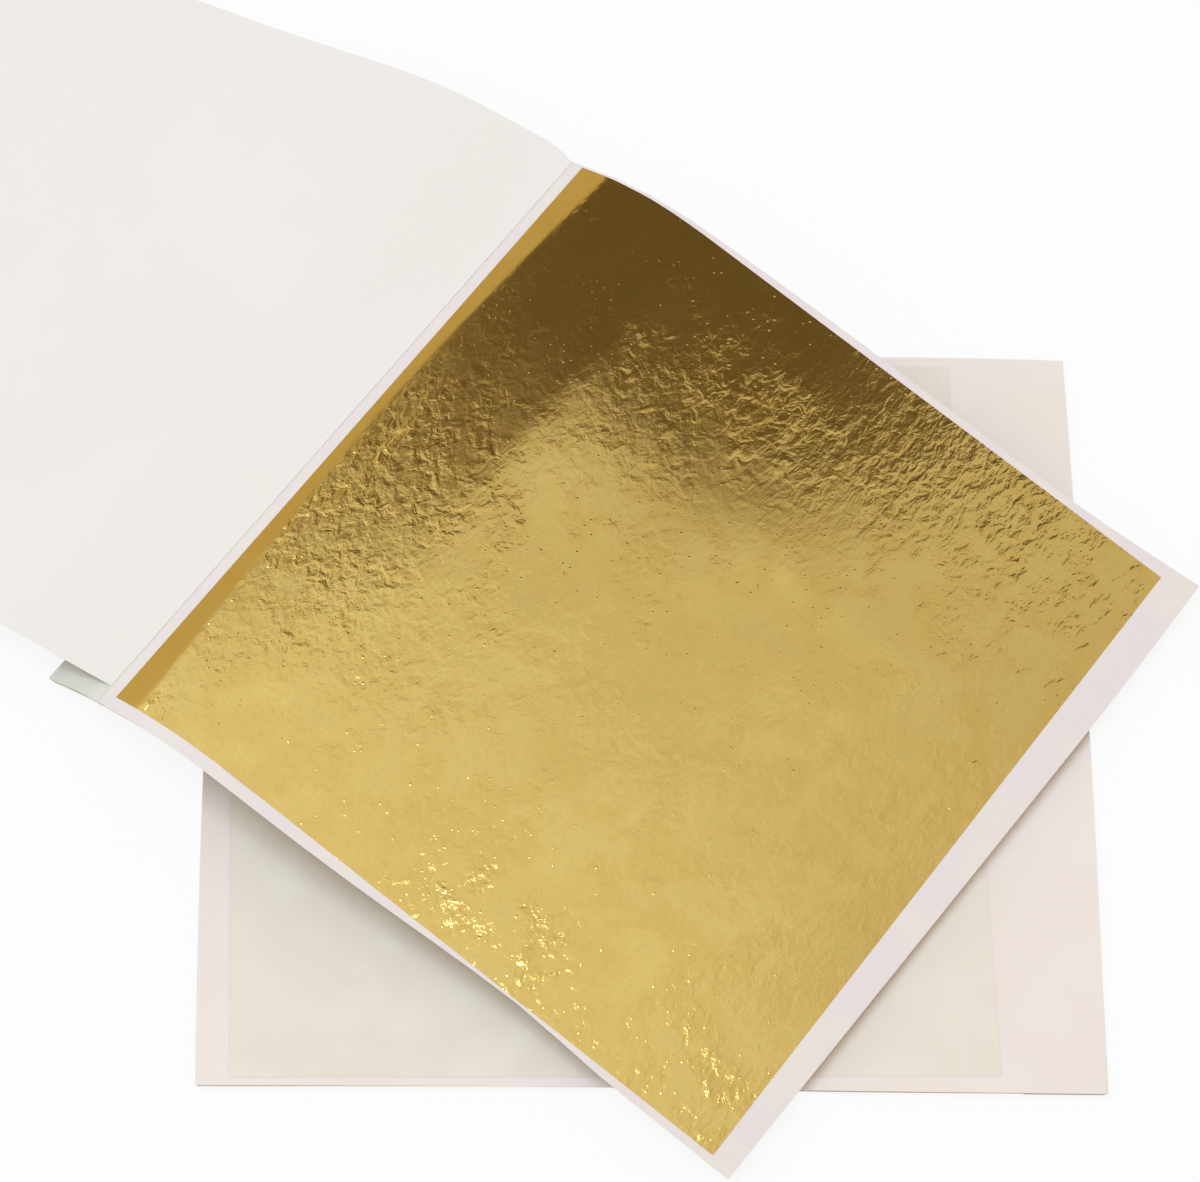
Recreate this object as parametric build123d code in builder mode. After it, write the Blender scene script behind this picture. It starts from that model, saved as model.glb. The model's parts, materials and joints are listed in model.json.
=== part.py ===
"""A pair of gold leaf booklets: an open one, its first tissue leaf turned back, on a closed one.

The closed booklet lies flat on the surface, spine to +X. The open booklet lies across it, turned in plan.
Its spine strip and its pages arch upwards in one wave, and the turned leaf falls from the fold to the surface.
Every sheet is bent in flats, a few degrees at a time, so each of its faces is a plane.

Frame: origin in the middle of the closed booklet's underside, +Z up, +Y along its spine, millimetres.
"""

import os
from math import asin, cos, dist, radians, sin

from build123d import *

# Sheets
gold_side = 140.0
strip_width = 14.5  # the glued margin along the spine
spine_margin = 3.0  # from the glued margin to the gold
fore_margin = 6.5  # from the gold to the fore-edge
head_margin = 1.1  # from the leaf's head edge to the gold
foot_margin = 3.9  # from the gold to the leaf's foot edge
tissue_thickness = 0.045
gold_thickness = 0.012  # far thicker than beaten metal, which has no useful thickness in a solid
backing_thickness = 0.15
air_gap = 0.01  # between one sheet and the next
leaf_count = 25  # gold leaves in a booklet, each on its own tissue

# How the open booklet lies
page_heading = -37.4  # degrees in plan from +X, from the fold towards the fore-edge
fold_head_x = -14.5  # the fold's head end in plan
fold_head_y = 111.7
ramp_angle = 24.0  # degrees, the strip and the first of the page rise together
ramp_length = 12.0
crest_radius = 35.0
bend_flats = 5  # flats in each bend
rest_gap = 0.02  # between the open booklet and the closed one
strip_clearance = 0.05  # between the strip and the leaves that turn beside it

# The turned leaf
turned_rise_angle = 1.0  # degrees
turned_reach = 33.0  # before it starts to fall
turned_fall_angle = 24.0  # degrees
turned_bend_radius = 30.0
turned_skew = 8.0  # degrees, it was folded back a little askew
turned_head_overhang = 1.5  # past the fold's head end
turned_foot_inset = 3.4  # short of the fold's foot end
cutter_overrun = 20.0

leaf_width = spine_margin + gold_side + fore_margin  # from the fold to the fore-edge
leaf_length = head_margin + gold_side + foot_margin  # along the spine
booklet_width = strip_width + leaf_width
leaf_pitch = tissue_thickness + gold_thickness + 2 * air_gap
strip_depth = air_gap + leaf_count * leaf_pitch + tissue_thickness
backing_depth = strip_depth + air_gap
booklet_depth = backing_depth + backing_thickness
closed_top = booklet_depth - air_gap
rest_level = closed_top + rest_gap
ramp = radians(ramp_angle)
fold_height = rest_level + booklet_depth * cos(ramp) + strip_width * sin(ramp)


def leaf_depth(number):
    """How far a tissue leaf's upper face lies below the fold line; leaf 0 is the one that is turned."""
    return air_gap + number * leaf_pitch


def gold_depth(number):
    """How far the upper face of the gold on a tissue leaf lies below the fold line."""
    return leaf_depth(number) - air_gap - gold_thickness


def page_fall_angle():
    """The angle in radians at which the pages fall from the crest, so that the fore-edge meets its rest."""
    fall = 0.0
    for _ in range(40):
        fall_length = leaf_width - ramp_length - crest_radius * (ramp + fall)
        crest_height = fold_height + ramp_length * sin(ramp) + crest_radius * (cos(fall) - cos(ramp))
        fall = asin((crest_height - booklet_depth * cos(fall) - rest_level) / fall_length)
    return fall


def straight(path, heading, length):
    """Adds a straight run to a path of (x, z) points."""
    x, z = path[-1]
    path.append((x + length * cos(heading), z + length * sin(heading)))


def bend(path, heading, radius, turn):
    """Adds a bend, in flats whose corners lie on its arc. A positive turn is anticlockwise."""
    side = 1 if turn > 0 else -1
    x, z = path[-1]
    centre_x = x - side * radius * sin(heading)
    centre_z = z + side * radius * cos(heading)
    for step in range(1, bend_flats + 1):
        now = heading + turn * step / bend_flats
        path.append((centre_x + side * radius * sin(now), centre_z - side * radius * cos(now)))


def moved_aside(path, distance):
    """A path moved sideways by a distance, to the left of its direction, with mitred corners."""
    normals = []
    for (x0, z0), (x1, z1) in zip(path, path[1:]):
        length = dist((x0, z0), (x1, z1))
        normals.append(((z0 - z1) / length, (x1 - x0) / length))
    before = [normals[0]] + normals
    after = normals + [normals[-1]]
    moved = []
    for (x, z), (ax, az), (bx, bz) in zip(path, before, after):
        share = distance / (1 + ax * bx + az * bz)
        moved.append((x + share * (ax + bx), z + share * (az + bz)))
    return moved


def band(path, near, far):
    """The closed outline between two sideways distances from a path."""
    return moved_aside(path, near) + moved_aside(path, far)[::-1]


def cut_path(path, start, end):
    """The part of a path between two lengths along it."""
    kept, run = [], 0.0
    for (x0, z0), (x1, z1) in zip(path, path[1:]):
        length = dist((x0, z0), (x1, z1))
        for mark in (start, end):
            if run <= mark < run + length:
                share = (mark - run) / length
                kept.append((x0 + share * (x1 - x0), z0 + share * (z1 - z0)))
        run += length
        if start < run < end:
            kept.append((x1, z1))
    return kept


# The page's path in its section: along the fold line's height from the fold to the fore-edge.
page_fall = page_fall_angle()
page_path = [(0.0, 0.0)]
straight(page_path, ramp, ramp_length)
bend(page_path, ramp, crest_radius, -ramp - page_fall)
straight(page_path, -page_fall, leaf_width - ramp_length - crest_radius * (ramp + page_fall))
gold_path = cut_path(page_path, spine_margin, spine_margin + gold_side)
spine_edge = (-strip_width * cos(ramp), -strip_width * sin(ramp))
strip_end = (-strip_clearance * cos(ramp), -strip_clearance * sin(ramp))
backing_path = [spine_edge] + page_path[1:]

# The turned leaf's path: out from the fold, over a bend, down, and out along the surface.
turned_rise = radians(turned_rise_angle)
turned_fall = radians(turned_fall_angle)
turned_drop = (
    fold_height
    + air_gap
    + turned_reach * sin(turned_rise)
    - turned_bend_radius * (cos(turned_rise) + 1 - 2 * cos(turned_fall))
)
left = radians(180)
turned_path = [(0.0, air_gap)]
straight(turned_path, left - turned_rise, turned_reach)
bend(turned_path, left - turned_rise, turned_bend_radius, turned_rise + turned_fall)
straight(turned_path, left + turned_fall, turned_drop / sin(turned_fall))
bend(turned_path, left + turned_fall, turned_bend_radius, -turned_fall)
straight(turned_path, left, leaf_width)

# Planes of the open booklet: its section at the head, drawn from +X at the page's heading, with depth to the foot.
page_plane = Plane(
    origin=(fold_head_x, fold_head_y, fold_height),
    x_dir=(cos(radians(page_heading)), sin(radians(page_heading)), 0),
    z_dir=(0, 0, 1),
)
section = Plane(origin=page_plane.origin, x_dir=page_plane.x_dir, z_dir=-page_plane.y_dir)
gold_section = section.offset(head_margin)

os.makedirs("parts", exist_ok=True)

# Closed booklet, bottom sheet first: backing, tissue and gold in turn, glued margin, cover leaf.
strip_middle = (booklet_width - strip_width) / 2
page_middle = -strip_width / 2
gold_middle_x = booklet_width / 2 - strip_width - spine_margin - gold_side / 2
gold_middle_y = leaf_length / 2 - head_margin - gold_side / 2

with BuildPart() as closed_backing_sheet:
    with BuildSketch():
        Rectangle(booklet_width, leaf_length)
    extrude(amount=backing_thickness)
closed_backing_sheet.part.label = "closed_backing_sheet"
export_step(closed_backing_sheet.part, "parts/closed_backing_sheet.step")

with BuildPart() as closed_tissue_leaves:
    for number in range(1, leaf_count + 1):
        with BuildSketch(Plane.XY.offset(booklet_depth - leaf_depth(number) - tissue_thickness)):
            with Locations((page_middle, 0)):
                Rectangle(leaf_width, leaf_length)
        extrude(amount=tissue_thickness)
closed_tissue_leaves.part.label = "closed_tissue_leaves"
export_step(closed_tissue_leaves.part, "parts/closed_tissue_leaves.step")

with BuildPart() as closed_gold_leaves:
    for number in range(1, leaf_count + 1):
        with BuildSketch(Plane.XY.offset(booklet_depth - gold_depth(number) - gold_thickness)):
            with Locations((gold_middle_x, gold_middle_y)):
                Rectangle(gold_side, gold_side)
        extrude(amount=gold_thickness)
closed_gold_leaves.part.label = "closed_gold_leaves"
export_step(closed_gold_leaves.part, "parts/closed_gold_leaves.step")

with BuildPart() as closed_bound_strip:
    with BuildSketch(Plane.XY.offset(backing_thickness)):
        with Locations((strip_middle, 0)):
            Rectangle(strip_width, leaf_length)
    extrude(amount=closed_top - tissue_thickness - backing_thickness)
closed_bound_strip.part.label = "closed_bound_strip"
export_step(closed_bound_strip.part, "parts/closed_bound_strip.step")

with BuildPart() as closed_cover_leaf:
    with BuildSketch(Plane.XY.offset(closed_top - tissue_thickness)):
        Rectangle(booklet_width, leaf_length)
    extrude(amount=tissue_thickness)
closed_cover_leaf.part.label = "closed_cover_leaf"
export_step(closed_cover_leaf.part, "parts/closed_cover_leaf.step")

# Open booklet: the backing sheet runs the whole width, under the glued margin and the pages.
with BuildPart() as backing_sheet:
    with BuildSketch(section):
        with BuildLine():
            Polyline(*band(backing_path, -backing_depth, -booklet_depth), close=True)
        make_face()
    extrude(amount=leaf_length)
backing_sheet.part.label = "backing_sheet"
export_step(backing_sheet.part, "parts/backing_sheet.step")

with BuildPart() as bound_strip:
    with BuildSketch(section):
        with BuildLine():
            Polyline(*band([spine_edge, strip_end], 0.0, -backing_depth), close=True)
        make_face()
    extrude(amount=leaf_length)
bound_strip.part.label = "bound_strip"
export_step(bound_strip.part, "parts/bound_strip.step")

# The pages: each tissue leaf and the gold leaf that lies on it.
for number in range(1, leaf_count + 1):
    with BuildPart() as tissue_leaf:
        with BuildSketch(section):
            with BuildLine():
                depth = leaf_depth(number)
                Polyline(*band(page_path, -depth, -depth - tissue_thickness), close=True)
            make_face()
        extrude(amount=leaf_length)
    tissue_leaf.part.label = f"tissue_leaf_{number:02d}"
    export_step(tissue_leaf.part, f"parts/tissue_leaf_{number:02d}.step")

    with BuildPart() as gold_leaf:
        with BuildSketch(gold_section):
            with BuildLine():
                depth = gold_depth(number)
                Polyline(*band(gold_path, -depth, -depth - gold_thickness), close=True)
            make_face()
        extrude(amount=gold_side)
    gold_leaf.part.label = f"gold_leaf_{number:02d}"
    export_step(gold_leaf.part, f"parts/gold_leaf_{number:02d}.step")

# The turned leaf: a long bent sheet, cut to its askew outline in plan.
skew = radians(turned_skew)
turned_head = turned_head_overhang
turned_foot = turned_foot_inset - leaf_length
half_slant = (turned_head - turned_foot) * sin(skew) / 2
head_width = leaf_width + half_slant
foot_width = leaf_width - half_slant
out_x = -cos(skew)
out_y = -sin(skew)

with BuildPart() as turned_leaf:
    with BuildSketch(section.offset(-cutter_overrun)):
        with BuildLine():
            Polyline(*band(turned_path, 0.0, -tissue_thickness), close=True)
        make_face()
    extrude(amount=leaf_length + leaf_width)
    with BuildSketch(page_plane.offset(-fold_height - cutter_overrun)):
        with BuildLine():
            Polyline(
                (0.0, turned_head),
                (0.0, turned_foot),
                (foot_width * out_x, turned_foot + foot_width * out_y),
                (head_width * out_x, turned_head + head_width * out_y),
                close=True,
            )
        make_face()
    extrude(amount=fold_height + 2 * cutter_overrun, mode=Mode.INTERSECT)
turned_leaf.part.label = "turned_leaf"
export_step(turned_leaf.part, "parts/turned_leaf.step")

print(f"Fold line through {tuple(page_plane.origin)}, towards the head {tuple(page_plane.y_dir)}")
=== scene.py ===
"""Dresses a pair of gold leaf booklets, an open one lying across a closed one, and lights them.

Sizes are in millimetres. Meshes are written in metres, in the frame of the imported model: its origin is in
the middle of the closed booklet's underside, +Z is up and +Y runs along the closed booklet's spine.
In an open booklet a point has a run, from the fold towards the fore-edge, an across, from the head towards
the foot, and a depth below the top of the pile.
"""

import json
import logging
import random
from collections.abc import Sequence
from dataclasses import dataclass, field
from enum import Enum
from math import asin, asinh, cos, exp, hypot, pi, radians, sin, sinh

import bpy
from mathutils import Matrix, Vector, noise

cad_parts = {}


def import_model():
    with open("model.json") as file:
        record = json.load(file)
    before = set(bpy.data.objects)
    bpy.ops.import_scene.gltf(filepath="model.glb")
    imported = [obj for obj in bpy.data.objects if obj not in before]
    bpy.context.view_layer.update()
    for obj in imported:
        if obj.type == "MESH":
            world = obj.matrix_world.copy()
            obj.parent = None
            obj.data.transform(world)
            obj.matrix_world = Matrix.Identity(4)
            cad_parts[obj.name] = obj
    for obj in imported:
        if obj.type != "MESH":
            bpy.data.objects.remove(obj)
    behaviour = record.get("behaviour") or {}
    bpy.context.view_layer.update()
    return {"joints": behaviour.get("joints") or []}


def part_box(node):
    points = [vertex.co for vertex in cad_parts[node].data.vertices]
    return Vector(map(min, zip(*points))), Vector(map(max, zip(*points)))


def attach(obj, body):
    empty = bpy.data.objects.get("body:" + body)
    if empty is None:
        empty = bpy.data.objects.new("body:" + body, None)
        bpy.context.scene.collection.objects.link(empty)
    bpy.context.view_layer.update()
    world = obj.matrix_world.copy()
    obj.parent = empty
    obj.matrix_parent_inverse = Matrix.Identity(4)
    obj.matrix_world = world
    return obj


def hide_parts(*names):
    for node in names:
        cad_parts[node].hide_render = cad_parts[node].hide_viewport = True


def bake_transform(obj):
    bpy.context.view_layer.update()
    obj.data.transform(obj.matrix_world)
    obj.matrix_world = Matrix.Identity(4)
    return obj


LOG = logging.getLogger("gold_leaf_booklets")
MM = 0.001
UP = Vector((0, 0, 1))
REST_GAP = 0.02  # between the closed booklet and the open one on it
RIM_ANGLE = radians(50)  # a sheet's rim is steeper than this and stays crisp, its creases are not

Grid = list[list[Vector]]
Marks = tuple[tuple[float, float], ...]
Waves = tuple[tuple[float, float, float], ...]  # for each wave its height, its rate or size and its phase
Colour = tuple[float, float, float]
Place = tuple[float, float, float]
Relief = tuple[bpy.types.NodeSocket, float, object]  # height as a share, full height and strength
WHITE: Colour = (1.0, 1.0, 1.0)
SOFT = {"interpolation_type": "SMOOTHSTEP"}  # a value spread between its limits with no hard ends


class Slot(Enum):
    """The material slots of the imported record."""

    TISSUE = "tissue"
    GOLD = "gold"
    BACKING = "backing_paper"
    BOUND_EDGE = "bound_edge"


def linear(code: str) -> tuple[float, float, float, float]:
    """Turns an sRGB hex colour into linear light.

    Args:
        code: six hex digits, with or without a leading hash.

    Returns:
        Red, green, blue and an alpha of 1.
    """
    digits = code.lstrip("#")
    shares = [int(digits[i : i + 2], 16) / 255 for i in (0, 2, 4)]
    red, green, blue = (c / 12.92 if c <= 0.04045 else ((c + 0.055) / 1.055) ** 2.4 for c in shares)
    return red, green, blue, 1.0


def ease(share: float) -> float:
    """A smooth step: 0 up to a share of 0, 1 from a share of 1 on."""
    held = min(max(share, 0.0), 1.0)
    return held * held * (3 - 2 * held)


def through(marks: Marks, at: float) -> float:
    """The height at one place of a smooth line through marks.

    Args:
        marks: places with their heights, in order.
        at: the place.

    Returns:
        The height, held level outside the marks.
    """
    if at <= marks[0][0]:
        return marks[0][1]
    for i, ((a, low), (b, high)) in enumerate(zip(marks, marks[1:])):
        if at <= b:
            before, after = marks[max(i - 1, 0)], marks[min(i + 2, len(marks) - 1)]
            leave = (high - before[1]) / (b - before[0]) * (b - a)
            arrive = (after[1] - low) / (after[0] - a) * (b - a)
            t = (at - a) / (b - a)
            return low + (high - low) * ease(t) + leave * t * (1 - t) ** 2 - arrive * t * t * (1 - t)
    return marks[-1][1]


def steps(start: float, end: float, count: int) -> list[float]:
    """Evenly spaced values from start up to, but without, end."""
    return [start + (end - start) * i / count for i in range(count)]


def add_node(
    tree: bpy.types.NodeTree, kind: str, inputs: dict[str | int, object] | None = None, **settings: object
) -> bpy.types.Node:
    """Adds a shader node with its settings, values and links.

    Args:
        tree: the node tree.
        kind: the node's type.
        inputs: for each input, a value or the output socket that feeds it.
        settings: the node's own properties.

    Returns:
        The node.
    """
    node = tree.nodes.new(kind)
    for name, value in settings.items():
        setattr(node, name, value)
    for name, value in (inputs or {}).items():
        if isinstance(value, bpy.types.NodeSocket):
            tree.links.new(value, node.inputs[name])
        else:
            node.inputs[name].default_value = value
    return node


def per_metre(size: float) -> float:
    """The scale of a pattern whose features are that many millimetres wide."""
    return 1 / (size * MM)


def add_material(name: str) -> tuple[bpy.types.Material, bpy.types.NodeTree]:
    """Makes a material with an empty node tree.

    Args:
        name: the material's name.

    Returns:
        The material and its node tree.
    """
    material = bpy.data.materials.new(name)
    material.use_nodes = True
    material.node_tree.nodes.clear()
    return material, material.node_tree


def add_object(name: str, data: bpy.types.ID) -> bpy.types.Object:
    """Puts a mesh, a lamp or a camera into the scene.

    Args:
        name: the object's name.
        data: what it shows.

    Returns:
        The new object.
    """
    made = bpy.data.objects.new(name, data)
    bpy.context.scene.collection.objects.link(made)
    return made


def build_shells(name: str, sheets: Sequence[tuple[Grid, Grid]]) -> bpy.types.Object:
    """Makes one object of closed thin sheets.

    Args:
        name: the object's name.
        sheets: for each sheet its upper and lower face, as points in metres, row by row.

    Returns:
        The new object, with smooth faces and crisp rims.
    """
    vertices: list[Vector] = []
    faces: list[tuple[int, ...]] = []
    for upper, lower in sheets:
        rows, columns = len(upper), len(upper[0])
        first = len(vertices)
        under = first + rows * columns
        vertices += [point for row in upper for point in row]
        vertices += [point for row in lower for point in row]
        for r in range(rows - 1):
            for c in range(columns - 1):
                a = r * columns + c
                b, d, e = a + 1, a + columns, a + columns + 1
                faces.append((first + a, first + d, first + e, first + b))
                faces.append((under + a, under + b, under + e, under + d))
        rim = list(range(columns))
        rim += [r * columns + columns - 1 for r in range(1, rows)]
        rim += [(rows - 1) * columns + c for c in range(columns - 2, -1, -1)]
        rim += [r * columns for r in range(rows - 2, 0, -1)]
        for a, b in zip(rim, rim[1:] + rim[:1]):
            faces.append((first + a, first + b, under + b, under + a))
    mesh = bpy.data.meshes.new(name)
    mesh.from_pydata(vertices, [], faces)
    mesh.shade_smooth()
    mesh.set_sharp_from_angle(angle=RIM_ANGLE)
    mesh.update()
    return add_object(name, mesh)


def build_shell(name: str, upper: Grid, lower: Grid) -> bpy.types.Object:
    """Makes an object of one closed thin sheet."""
    return build_shells(name, [(upper, lower)])


def dress(piece: bpy.types.Object, material: bpy.types.Material) -> None:
    """Gives a piece its material.

    Args:
        piece: the piece.
        material: its material.
    """
    piece.data.materials.clear()
    piece.data.materials.append(material)


def give_share(piece: bpy.types.Object, name: str, shares: Sequence[float]) -> None:
    """Stores one number per vertex, for the material to read."""
    attribute = piece.data.attributes.new(name, "FLOAT", "POINT")
    attribute.data.foreach_set("value", list(shares))


class Finish:
    """A surface finish, which makes one Blender material."""

    name: str

    def start(self, **values: object) -> tuple[bpy.types.Material, bpy.types.NodeTree, bpy.types.Node]:
        """Makes the material with its shader.

        Args:
            values: constant values for the shader's sockets, with underscores for spaces.

        Returns:
            The material, its node tree and its shader node.
        """
        material, tree = add_material(self.name)
        sockets = {key.replace("_", " "): value for key, value in values.items()}
        shader = add_node(tree, "ShaderNodeBsdfPrincipled", sockets)
        add_node(tree, "ShaderNodeOutputMaterial", {"Surface": shader.outputs["BSDF"]})
        return material, tree, shader

    @staticmethod
    def cover(
        tree: bpy.types.NodeTree,
        shader: bpy.types.Node,
        colour: bpy.types.NodeSocket,
        reliefs: Sequence[Relief],
    ) -> None:
        """Gives the surface its colour and lays its reliefs on each other.

        Args:
            tree: the node tree.
            shader: the shader node.
            colour: the surface's colour.
            reliefs: the reliefs from the lowest up, their full heights in millimetres.
        """
        tree.links.new(colour, shader.inputs["Base Color"])
        under: dict[str | int, object] = {}
        for height, tall, strength in reliefs:
            inputs = {"Strength": strength, "Distance": tall * MM, "Height": height, **under}
            under = {"Normal": add_node(tree, "ShaderNodeBump", inputs).outputs["Normal"]}
        tree.links.new(under["Normal"], shader.inputs["Normal"])


@dataclass(frozen=True)
class UnglazedTissue(Finish):
    """Wood-free tissue, calendered but unglazed: soft white, faintly cloudy, with short fibres."""

    name: str = "tissue_paper_unglazed"
    colour: str = "#F0EDEB"
    cloud: str = "#EFECE7"
    roughness: float = 0.85  # matt, with no sheen at all
    ior: float = 1.45
    cloud_size: float = 38.0
    cloud_span: tuple[float, float] = (0.42, 0.62)  # where the pattern turns from one shade to the other
    cockle_size: float = 16.0
    cockle_height: float = 0.05
    fibre_size: float = 0.9  # real fibres are 0.03 mm wide, drawn as coarse as they show
    fibre_height: float = 0.004

    def material(self) -> bpy.types.Material:
        """Makes the material: two mixed shades of paper, its cockles and its fibres."""
        material, tree, shader = self.start(Roughness=self.roughness, IOR=self.ior)
        where = add_node(tree, "ShaderNodeTexCoord").outputs["Object"]
        look = {"Vector": where, "Scale": per_metre(self.cloud_size), "Detail": 3.0}
        clouds = add_node(tree, "ShaderNodeTexNoise", look).outputs["Fac"]
        low, high = self.cloud_span
        look = {"Value": clouds, "From Min": low, "From Max": high}
        cloudy = add_node(tree, "ShaderNodeMapRange", look, **SOFT).outputs["Result"]
        look = {0: cloudy, 6: linear(self.colour), 7: linear(self.cloud)}
        paper = add_node(tree, "ShaderNodeMix", look, data_type="RGBA").outputs[2]
        look = {"Vector": where, "Scale": per_metre(self.cockle_size), "Detail": 2.0, "Distortion": 0.4}
        cockle = add_node(tree, "ShaderNodeTexNoise", look).outputs["Fac"]
        look = {"Vector": where, "Scale": per_metre(self.fibre_size), "Detail": 4.0, "Distortion": 1.5}
        fibres = add_node(tree, "ShaderNodeTexNoise", look).outputs["Fac"]
        reliefs = ((cockle, self.cockle_height, 1.0), (fibres, self.fibre_height, 1.0))
        self.cover(tree, shader, self.tint(tree, where, paper), reliefs)
        return material

    def tint(
        self, tree: bpy.types.NodeTree, where: bpy.types.NodeSocket, colour: bpy.types.NodeSocket
    ) -> bpy.types.NodeSocket:
        """The paper's colour, with nothing added on a plain sheet."""
        return colour


@dataclass(frozen=True)
class PageTissuePaintedShade(UnglazedTissue):
    """The same tissue on the pages, coloured a little greyer and cooler than the turned leaf: painted shade.
    """

    name: str = "tissue_paper_pages_painted_shade"
    # painted shade: both of the pages' colours are darker and cooler than the turned leaf's tissue
    colour: str = "#EAE1E2"
    cloud: str = "#ECE5DF"
    cloud_size: float = 12.0


@dataclass(frozen=True)
class CoverTissue(UnglazedTissue):
    """Tissue pressed on a leaf of gold, whose square shows through as a warmer field with a fine outline."""

    name: str = "tissue_paper_over_gold"
    colour: str = "#F2E9E4"
    cloud: str = "#EFE6DE"
    field_colour: str = "#EBE3D6"
    field_cloud: str = "#EEE8DA"
    outline_colour: str = "#E9DCDC"
    outline_width: float = 0.9
    outline_strength: float = 2.4
    blot_size: float = 9.0
    blot_span: tuple[float, float] = (0.4, 0.68)
    sides: tuple[float, float, float, float] = (-77.5, 61.1, -70.4, 70.6)  # left, right, foot and head
    lean: tuple[float, float] = (0.038, -0.006)  # how far the gold lies askew under its tissue

    def tint(
        self, tree: bpy.types.NodeTree, where: bpy.types.NodeSocket, colour: bpy.types.NodeSocket
    ) -> bpy.types.NodeSocket:
        """Adds the gold's field and its outline to the paper's colour.

        Args:
            tree: the node tree.
            where: the point on the piece, in metres.
            colour: the paper's colour.

        Returns:
            The colour with both.
        """
        x, y, _ = add_node(tree, "ShaderNodeSeparateXYZ", {0: where}).outputs
        lean_x, lean_y = self.lean
        level = add_node(tree, "ShaderNodeMath", {0: y, 1: lean_x, 2: x}, operation="MULTIPLY_ADD").outputs[0]
        plumb = add_node(tree, "ShaderNodeMath", {0: x, 1: lean_y, 2: y}, operation="MULTIPLY_ADD").outputs[0]
        left, right, foot, head = self.sides
        half = self.outline_width / 2
        inside: object = 1.0
        for axis, side, way in ((level, left, 1), (level, right, -1), (plumb, foot, 1), (plumb, head, -1)):
            look = {"Value": axis, "From Min": (side - way * half) * MM, "From Max": (side + way * half) * MM}
            past = add_node(tree, "ShaderNodeMapRange", look, **SOFT).outputs["Result"]
            inside = add_node(tree, "ShaderNodeMath", {0: inside, 1: past}, operation="MULTIPLY").outputs[0]
        look = {"Vector": where, "Scale": per_metre(self.blot_size), "Detail": 4.0}
        blots = add_node(tree, "ShaderNodeTexNoise", look).outputs["Fac"]
        low, high = self.blot_span
        look = {"Value": blots, "From Min": low, "From Max": high}
        blotted = add_node(tree, "ShaderNodeMapRange", look, **SOFT).outputs["Result"]
        look = {0: blotted, 6: linear(self.field_colour), 7: linear(self.field_cloud)}
        gilt = add_node(tree, "ShaderNodeMix", look, data_type="RGBA").outputs[2]
        filled = add_node(tree, "ShaderNodeMix", {0: inside, 6: colour, 7: gilt}, data_type="RGBA").outputs[2]
        outside = add_node(tree, "ShaderNodeMath", {0: 1.0, 1: inside}, operation="SUBTRACT").outputs[0]
        both = add_node(tree, "ShaderNodeMath", {0: inside, 1: outside}, operation="MULTIPLY").outputs[0]
        look = {0: both, 1: self.outline_strength}
        edge = add_node(tree, "ShaderNodeMath", look, operation="MULTIPLY").outputs[0]
        look = {0: edge, 6: filled, 7: linear(self.outline_colour)}
        return add_node(tree, "ShaderNodeMix", look, data_type="RGBA").outputs[2]


@dataclass(frozen=True)
class BackingPaper(UnglazedTissue):
    """A heavier uncoated sheet, cream and matt, stiff enough to lie nearly flat."""

    name: str = "backing_paper_uncoated"
    colour: str = "#DDD9CC"
    cloud: str = "#D8D4C6"
    cockle_height: float = 0.02
    fibre_height: float = 0.008


@dataclass(frozen=True)
class GluedEdge(UnglazedTissue):
    """Tissues soaked together with binder's glue, which closes their pores, coloured greyer and greener than
    the free tissue.
    """

    name: str = "tissue_paper_glued"
    colour: str = "#E6E6DC"
    cloud: str = "#DFDED2"
    cloud_size: float = 9.0
    cockle_size: float = 5.0
    cockle_height: float = 0.03


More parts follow.
